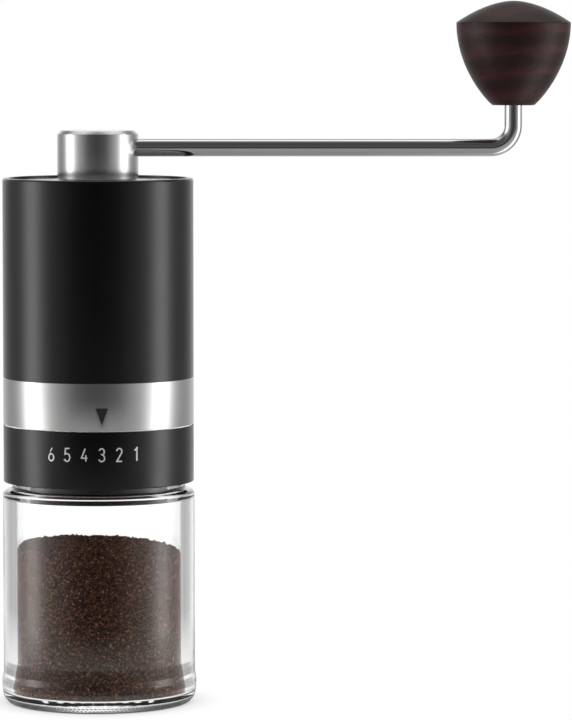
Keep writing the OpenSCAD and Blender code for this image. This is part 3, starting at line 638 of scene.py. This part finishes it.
def prism(name, outline, near_x, far_x, turn):
    """A flat outline of (across, z) made solid from near_x to far_x, then turned about the axis."""
    bm = bmesh.new()
    c, s = math.cos(turn), math.sin(turn)
    ends = [[bm.verts.new((x * c - y * s, x * s + y * c, z)) for y, z in outline] for x in (near_x, far_x)]
    n = len(outline)
    bm.faces.new(ends[0][::-1])
    bm.faces.new(ends[1])
    for k in range(n):
        bm.faces.new((ends[0][k], ends[0][(k + 1) % n], ends[1][(k + 1) % n], ends[1][k]))
    bmesh.ops.recalc_face_normals(bm, faces=bm.faces)
    mesh = bpy.data.meshes.new(name)
    bm.to_mesh(mesh)
    bm.free()
    return bpy.data.objects.new(name, mesh)


def pointer_outline(inset):
    """The pointer's triangle, point down, drawn in by an inset."""
    tip = band_low + 1.7 * MM + inset * 2.2
    top = band_low + 6.4 * MM - inset
    half = 1.8 * MM - inset * 1.5
    return [(0, tip), (half, top), (-half, top)]


band_outline = rounded([
    (tube_in, band_low + 1.2 * MM, 0), (shell_r - 0.4 * MM, band_low + 1.2 * MM, 0),
    (shell_r - 0.4 * MM, band_low, 0), (band_r, band_low, 0.12 * MM), (band_r, band_top, 0.12 * MM),
    (tube_in, band_top, 0)], steps=3)
band = finish_mesh("steel_collar_band", lathe(band_outline, segments=384, closed=True), BAND_STEEL, "housing",
                   replaces=["steel_band"])
cut_with(band, prism("pointer_cutter", pointer_outline(0), band_r - 0.2 * MM, band_r + 1 * MM, POINTER_AT))
fill = prism("pointer_paint", pointer_outline(0.03 * MM), band_r - 0.195 * MM, band_r - 0.15 * MM, POINTER_AT)
fill.data.materials.append(POINTER_FILL)
bpy.context.scene.collection.objects.link(fill)
settle(fill, "housing", [])

SETTINGS = 6
REST_SETTING = 3
SETTING_PITCH = math.radians(10.4)
CLICK_AT = math.radians(270)
RING_WALL = 1.84 * MM
NOTCH_HALF = 0.75 * MM
NOTCH_DEPTH = 0.32 * MM
LIFT_PER_SETTING = 0.16 * MM
RAMP_OVERRUN = math.radians(9)
RAMP_STEPS = 24
ring_in = ring_r - RING_WALL
ring_shoulder = ring_top - 4.8 * MM


def ring_shape(r, z, a):
    """Cuts the click notches into the ring's bore."""
    if abs(r - ring_in) < 1e-6 and z < ring_shoulder + 1e-6:
        for k in range(1, SETTINGS + 1):
            at = CLICK_AT - (k - REST_SETTING) * SETTING_PITCH
            off = (a - at + math.pi) % (2 * math.pi) - math.pi
            across = off * ring_in / NOTCH_HALF
            if abs(across) < 1:
                r += NOTCH_DEPTH * math.sqrt(1 - across * across)
    return r, z


def ramp_bars(bm):
    """Adds the three helical ramps on the ring's inner shoulder."""
    low_turn = -(SETTINGS - REST_SETTING) * SETTING_PITCH - RAMP_OVERRUN
    high_turn = (REST_SETTING - 1) * SETTING_PITCH + RAMP_OVERRUN
    lead = LIFT_PER_SETTING / SETTING_PITCH
    inner, outer = ring_in + 0.08 * MM, ring_r - 0.4 * MM
    for first in (math.radians(90), math.radians(210), math.radians(330)):
        rings = []
        for i in range(RAMP_STEPS + 1):
            turn = low_turn + (high_turn - low_turn) * i / RAMP_STEPS
            top = ring_shoulder + 1.55 * MM + lead * turn
            a = first + turn
            rings.append([bm.verts.new((r * math.cos(a), r * math.sin(a), z)) for r, z in
                          ((inner, ring_shoulder - 0.3 * MM), (outer, ring_shoulder - 0.3 * MM),
                           (outer, top), (inner, top))])
        for low, high in zip(rings, rings[1:]):
            for k in range(4):
                bm.faces.new((low[k], low[(k + 1) % 4], high[(k + 1) % 4], high[k]))
        bm.faces.new(rings[0][::-1])
        bm.faces.new(rings[-1])


flange_hole = shell_r - 0.75 * MM
ring_floor = ring_low + 2.15 * MM
ring_outline = rounded([
    (flange_hole, ring_floor, 0), (flange_hole, ring_low, 0), (ring_r, ring_low, 0.4 * MM),
    (ring_r, ring_top, 0.2 * MM), (ring_r - 0.8 * MM, ring_top, 0), (ring_r - 0.8 * MM, ring_shoulder, 0),
    (ring_in, ring_shoulder, 0), (ring_in, ring_floor, 0)], steps=5)
ring_bm = lathe(ring_outline, segments=720, closed=True, bend=ring_shape)
ramp_bars(ring_bm)
finish_mesh("setting_ring", ring_bm, RING_COAT, "adjust_ring", replaces=["number_ring"])

# ---------------------------------------------------------------- digits on the ring


def arc(cx, cy, rx, ry, start, end, n=16):
    """Points along part of an ellipse, angles in degrees."""
    return [(cx + rx * math.cos(math.radians(start + (end - start) * k / n)),
             cy + ry * math.sin(math.radians(start + (end - start) * k / n))) for k in range(n + 1)]


# Centre lines of each digit's strokes, in a box DIGIT_WIDE wide and 1 high.
DIGIT_WIDE = 0.45
DIGITS = {
    1: [[(0.10, 0.80), (0.29, 1.0), (0.29, 0.0)]],
    2: [arc(0.22, 0.765, 0.21, 0.235, 170, -22) + [(0.02, 0.0), (0.45, 0.0)]],
    3: [arc(0.21, 0.76, 0.20, 0.24, 160, -80) + arc(0.21, 0.265, 0.225, 0.265, 82, -160)],
    4: [[(0.29, 1.0), (0.0, 0.27), (0.46, 0.27)], [(0.34, 0.50), (0.34, 0.0)]],
    5: [[(0.40, 1.0), (0.08, 1.0), (0.05, 0.55)] + arc(0.205, 0.30, 0.225, 0.30, 112, -155)],
    6: [[(0.29, 1.0)] + arc(0.225, 0.27, 0.215, 0.27, 155, -205, 28)],
}
DIGIT_H = 3.6 * MM
STROKE = 0.36 * MM
PAINT_SUNK = -0.03 * MM
PAINT_PROUD = 0.02 * MM
DIGIT_Z = ring_low + 9.75 * MM - DIGIT_H / 2


def stroke_strip(bm, points, place):
    """A closed flat bar of the stroke's width along the points, laid on the ring."""
    count = len(points)
    sections = []
    for i in range(count):
        before, here, after = (Vector(points[max(i - 1, 0)]), Vector(points[i]),
                               Vector(points[min(i + 1, count - 1)]))
        a = (here - before).normalized() if i else (after - here).normalized()
        b = (after - here).normalized() if i < count - 1 else a
        side = Vector((-(a + b).y, (a + b).x)).normalized()
        reach = STROKE / 2 / max(0.35, side.dot(Vector((-a.y, a.x))))
        sections.append([bm.verts.new(place(here + side * reach * s, lift))
                         for s, lift in ((1, PAINT_SUNK), (-1, PAINT_SUNK), (-1, PAINT_PROUD),
                                         (1, PAINT_PROUD))])
    for low, high in zip(sections, sections[1:]):
        for k in range(4):
            bm.faces.new((low[k], low[(k + 1) % 4], high[(k + 1) % 4], high[k]))
    bm.faces.new(sections[0][::-1])
    bm.faces.new(sections[-1])


for digit, strokes in DIGITS.items():
    centre = POINTER_AT + (REST_SETTING - digit) * SETTING_PITCH

    def on_ring(p, lift, centre=centre):
        a = centre + (p.x - DIGIT_WIDE / 2 * DIGIT_H) / ring_r
        r = ring_r + lift
        return (r * math.cos(a), r * math.sin(a), DIGIT_Z + p.y)

    digit_bm = bmesh.new()
    for stroke in strokes:
        stroke_strip(digit_bm, [(x * DIGIT_H, y * DIGIT_H) for x, y in stroke], on_ring)
    finish_mesh(f"digit_{digit}", digit_bm, DIGIT_PAINT, "adjust_ring")

# ---------------------------------------------------------------- hub, arm and knob

socket_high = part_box("drive_socket")[1]
socket_r = socket_high.y
hub_outline = rounded([
    (0, socket_high.z + 0.05 * MM, 0), (socket_r + 0.02 * MM, socket_high.z + 0.05 * MM, 0),
    (socket_r + 0.02 * MM, hub_low, 0), (hub_r, hub_low, 0.45 * MM), (hub_r, hub_top - 1.0 * MM, 0.15 * MM),
    (hub_r - 1.0 * MM, hub_top, 0.15 * MM), (0, hub_top, 0)], steps=4)
finish_mesh("crank_hub_turned", lathe(hub_outline, segments=384), HUB_STEEL, "crank",
            replaces=["crank_hub"], smooth=math.radians(22))

BEND_STEPS = 24
bend_r = 6.3 * MM
rod_path = [Vector((arm_low.x, 0, arm_z)), Vector((hub_r + 2 * MM, 0, arm_z)),
            Vector((arm_reach - bend_r - 4 * MM, 0, arm_z))]
for k in range(BEND_STEPS + 1):
    a = math.radians(-90 + 90 * k / BEND_STEPS)
    rod_path.append(Vector((arm_reach - bend_r + bend_r * math.cos(a), 0,
                            arm_z + bend_r + bend_r * math.sin(a))))
rod_path.append(Vector((arm_reach, 0, arm_high.z)))
finish_mesh("crank_rod", sweep(rod_path, rod_r, sides=96), ROD_STEEL, "crank",
            replaces=["crank_arm"])

SIDE_ROWS = 48
SIDE_CURVE = 0.9
DOME_ROWS = 40
DOME_SHARE = 0.93
DOME_CURVE = 1.8
foot_r = 5.9 * MM
side_h = 23.3 * MM
dome_h = 6.1 * MM
bore_r = bush_high.y
edge_z = knob_low.z + side_h
knob_outline = [(bore_r + 0.02 * MM, bush_high.z + 2.5 * MM), (bore_r + 0.02 * MM, knob_low.z + 0.3 * MM),
                (bore_r + 0.3 * MM, knob_low.z)]
for k in range(SIDE_ROWS + 1):
    t = k / SIDE_ROWS
    r = foot_r + (knob_r - foot_r) * (1 - (1 - t) ** 2) ** SIDE_CURVE
    knob_outline.append((r, knob_low.z + side_h * t))
edge = knob_outline.pop()
dome_start = (knob_r * DOME_SHARE, edge_z + dome_h * (1 - DOME_SHARE ** DOME_CURVE), 0)
knob_outline += rounded([knob_outline[-1] + (0,), edge + (0.5 * MM,), dome_start], steps=8)[1:]
for k in range(1, DOME_ROWS):
    r = knob_r * DOME_SHARE * (1 - k / DOME_ROWS)
    knob_outline.append((r, edge_z + dome_h * (1 - (r / knob_r) ** DOME_CURVE)))
knob_outline.append((0, edge_z + dome_h))
knob_bottom = [(0, bush_high.z + 2.5 * MM)]
finish_mesh("wooden_knob", lathe(knob_bottom + knob_outline, segments=256, centre=(arm_reach, 0)), WOOD,
            "knob", replaces=["knob"], smooth=math.radians(40))

# ---------------------------------------------------------------- materials of the pieces inside

INSIDE = {
    "lid": LID_COAT, "jar_gasket": SILICONE, "lid_seal": SILICONE, "chamber_body": GREY_NYLON,
    "bridge": GREY_NYLON, "lower_carrier": GREY_NYLON, "burr_clamp": BLACK_NYLON, "jar_collar": BLACK_NYLON,
    "glide_ring": WHITE_NYLON, "thrust_washer": WHITE_NYLON, "upper_bush": BUSH, "lower_bush": BUSH,
    "lid_bush": WHITE_NYLON, "knob_bush": WHITE_NYLON, "outer_burr": CERAMIC, "inner_burr": CERAMIC,
}
for name, node in nodes.items():
    for slot_at in range(max(1, len(node.material_slots))):
        if not node.material_slots:
            node.data.materials.append(PLAIN_STEEL)
        node.material_slots[slot_at].material = INSIDE.get(name, PLAIN_STEEL)

# ---------------------------------------------------------------- floor, light and camera

FILL_STRENGTH = 8.0
LENS = 218.6
CAMERA_AT = (0.0532, -1.2369, 0.18943)
LOOK_DOWN = 0.07427
ROOM_FRONT = (0.0, -math.cos(LOOK_DOWN), math.sin(LOOK_DOWN))


def room_angles(t, direction):
    """How far a direction lies off the room's front, round the upright and over the top, both from 0 to 1."""
    parts = t.add("ShaderNodeSeparateXYZ", {0: direction})
    side = t.math("ABSOLUTE", parts.outputs[0])
    dot = t.add("ShaderNodeVectorMath", {0: direction, 1: ROOM_FRONT}, operation="DOT_PRODUCT")
    front = dot.outputs["Value"]
    around = t.math("DIVIDE", t.math("ARCTAN2", side, front), math.pi)
    over = t.math("DIVIDE", t.math("ARCTAN2", parts.outputs[2], front), math.pi)
    return around, over, side


def grey(value):
    return (value, value, value)


def by_angle(t, angle, stops):
    """A brightness from (degrees, value) stops, for an angle given as a share of 180 degrees."""
    return t.ramp(angle, [(degrees / 180, grey(value)) for degrees, value in stops])


def studio_floor():
    """A wide pale glowing floor with a painted soft contact shadow; away from the object only the camera sees
    it.
    """
    bm = bmesh.new()
    bmesh.ops.create_grid(bm, x_segments=1, y_segments=1, size=6.0)
    mesh = bpy.data.meshes.new("studio_floor")
    bm.to_mesh(mesh)
    bm.free()
    floor = bpy.data.objects.new("studio_floor", mesh)
    bpy.context.scene.collection.objects.link(floor)
    material = bpy.data.materials.new("pale_floor")
    material.use_nodes = True
    tree = material.node_tree
    tree.nodes.remove(tree.nodes["Principled BSDF"])
    t = Tree(tree)
    # Painted shade: the floor only glows, and ambient occlusion dims that glow near the object into a soft
    # contact shadow.
    shade = t.add("ShaderNodeAmbientOcclusion", {"Distance": 0.008}, samples=16)
    soft = t.math("POWER", shade.outputs["AO"], 0.28)
    glow_with_painted_shadow = t.add("ShaderNodeEmission", {"Color": (1, 1, 1, 1), "Strength": soft})
    path = t.add("ShaderNodeLightPath")
    level = t.add("ShaderNodeMapRange", {0: path.outputs["Is Transmission Ray"], 3: 0.36, 4: 1.0}).outputs[0]
    nearby = t.add("ShaderNodeEmission", {"Color": (1, 1, 1, 1), "Strength": level})
    clear = t.add("ShaderNodeBsdfTransparent")
    place = t.add("ShaderNodeTexCoord").outputs["Object"]
    distance = t.add("ShaderNodeVectorMath", {0: place}, operation="LENGTH").outputs["Value"]
    fade = t.add("ShaderNodeMapRange", {0: distance, 1: 0.08, 2: 0.22}).outputs[0]
    unseen = t.add("ShaderNodeMixShader", {0: fade, 1: nearby.outputs[0], 2: clear.outputs[0]})
    both = t.add("ShaderNodeMixShader", {0: path.outputs["Is Camera Ray"], 1: unseen.outputs[0],
                                         2: glow_with_painted_shadow.outputs[0]})
    tree.links.new(both.outputs[0], tree.nodes["Material Output"].inputs["Surface"])
    mesh.materials.append(material)


def studio_light():
    """White backdrop, two tall soft boxes beside the object, a narrow light overhead, a dim room in
    front. They stay where they are in the room when the camera moves."""
    world = bpy.data.worlds.new("studio")
    bpy.context.scene.world = world
    world.use_nodes = True
    tree = world.node_tree
    t = Tree(tree)
    toward = t.add("ShaderNodeTexCoord").outputs["Generated"]
    around, over, side = room_angles(t, toward)
    boxes = by_angle(t, around, [
        (0, 0.05), (22, 0.09), (30, 0.15), (41, 0.32), (48, 0.42), (57, 0.58), (64, 0.92), (70, 1.5),
        (76, 2.5), (82, 3.3), (90, 2.9), (97, 1.6), (104, 0.74), (112, 0.48), (122, 0.38), (146, 0.34),
        (180, 0.42)])
    room = by_angle(t, t.math("ABSOLUTE", over), [
        (0, 0.0), (6, 0.0), (10, 0.06), (72, 0.10), (84, 0.40), (94, 0.95), (104, 1.50), (114, 1.50),
        (124, 0.60), (144, 0.32), (150, 0.35), (168, 0.70), (174, 0.80), (179, 0.80), (180, 0.40)])
    below = t.add("ShaderNodeMapRange", {0: over, 1: -0.03, 2: -0.09, 3: 0.0, 4: 0.36}).outputs[0]
    upper = t.math("GREATER_THAN", over, 0.0)
    middle = t.add("ShaderNodeMapRange", {0: side, 1: 0.35, 2: 0.75, 3: 1.0, 4: 0.0}).outputs[0]
    extra = t.math("ADD", t.math("MULTIPLY", room, upper), below)
    height = t.add("ShaderNodeSeparateXYZ", {0: toward}).outputs[2]
    upright = t.add("ShaderNodeMapRange", {0: height, 1: 0.30, 2: 0.58, 3: 1.0, 4: 0.16}).outputs[0]
    reflected = t.math("ADD", t.math("MULTIPLY", boxes, upright), t.math("MULTIPLY", extra, middle))
    path = t.add("ShaderNodeLightPath")
    scattered = t.math("GREATER_THAN", path.outputs["Diffuse Depth"], 0.5)
    fill = t.math("MULTIPLY", by_angle(t, around, [
        (0, 0.0), (50, 0.0), (72, 0.6), (84, 1.0), (98, 1.0), (112, 0.4), (130, 0.0)]), FILL_STRENGTH)
    lit = t.math("ADD", reflected, t.math("MULTIPLY", fill, scattered))
    glossy = t.add("ShaderNodeBackground", {"Color": (1, 1, 1, 1), "Strength": lit})
    backdrop = by_angle(t, around, [
        (0, 0.04), (30, 0.10), (60, 0.35), (90, 0.60), (110, 0.46), (133, 0.50), (138, 0.54), (143, 0.43),
        (148, 0.54), (153, 0.45), (158, 0.56), (163, 0.64), (170, 1.0), (174, 1.22), (180, 1.22)])
    bounced = t.math("GREATER_THAN", path.outputs["Glossy Depth"], 0.5)
    beyond = t.add("ShaderNodeMapRange", {0: bounced, 3: 1.2, 4: backdrop}).outputs[0]
    through = t.add("ShaderNodeBackground", {"Color": (1, 1, 1, 1), "Strength": beyond})
    white = t.add("ShaderNodeBackground", {"Color": (1, 1, 1, 1), "Strength": 1.0})
    unscattered = t.math("LESS_THAN", path.outputs["Diffuse Depth"], 0.5)
    seen_through = t.math("MULTIPLY", path.outputs["Is Transmission Ray"], unscattered)
    inside = t.add("ShaderNodeMixShader", {0: seen_through, 1: glossy.outputs[0], 2: through.outputs[0]})
    both = t.add("ShaderNodeMixShader", {0: path.outputs["Is Camera Ray"], 1: inside.outputs[0],
                                         2: white.outputs[0]})
    tree.links.new(both.outputs[0], tree.nodes["World Output"].inputs["Surface"])


def add_camera():
    """A long lens a little above the middle, tilted slightly down."""
    data = bpy.data.cameras.new("camera")
    data.lens = LENS
    data.sensor_width = 36
    data.clip_end = 50
    camera = bpy.data.objects.new("camera", data)
    camera.location = CAMERA_AT
    camera.rotation_euler = (math.pi / 2 - LOOK_DOWN, 0, 0)
    bpy.context.scene.collection.objects.link(camera)
    bpy.context.scene.camera = camera


studio_floor()
studio_light()
add_camera()
bpy.context.scene.view_settings.view_transform = "Standard"
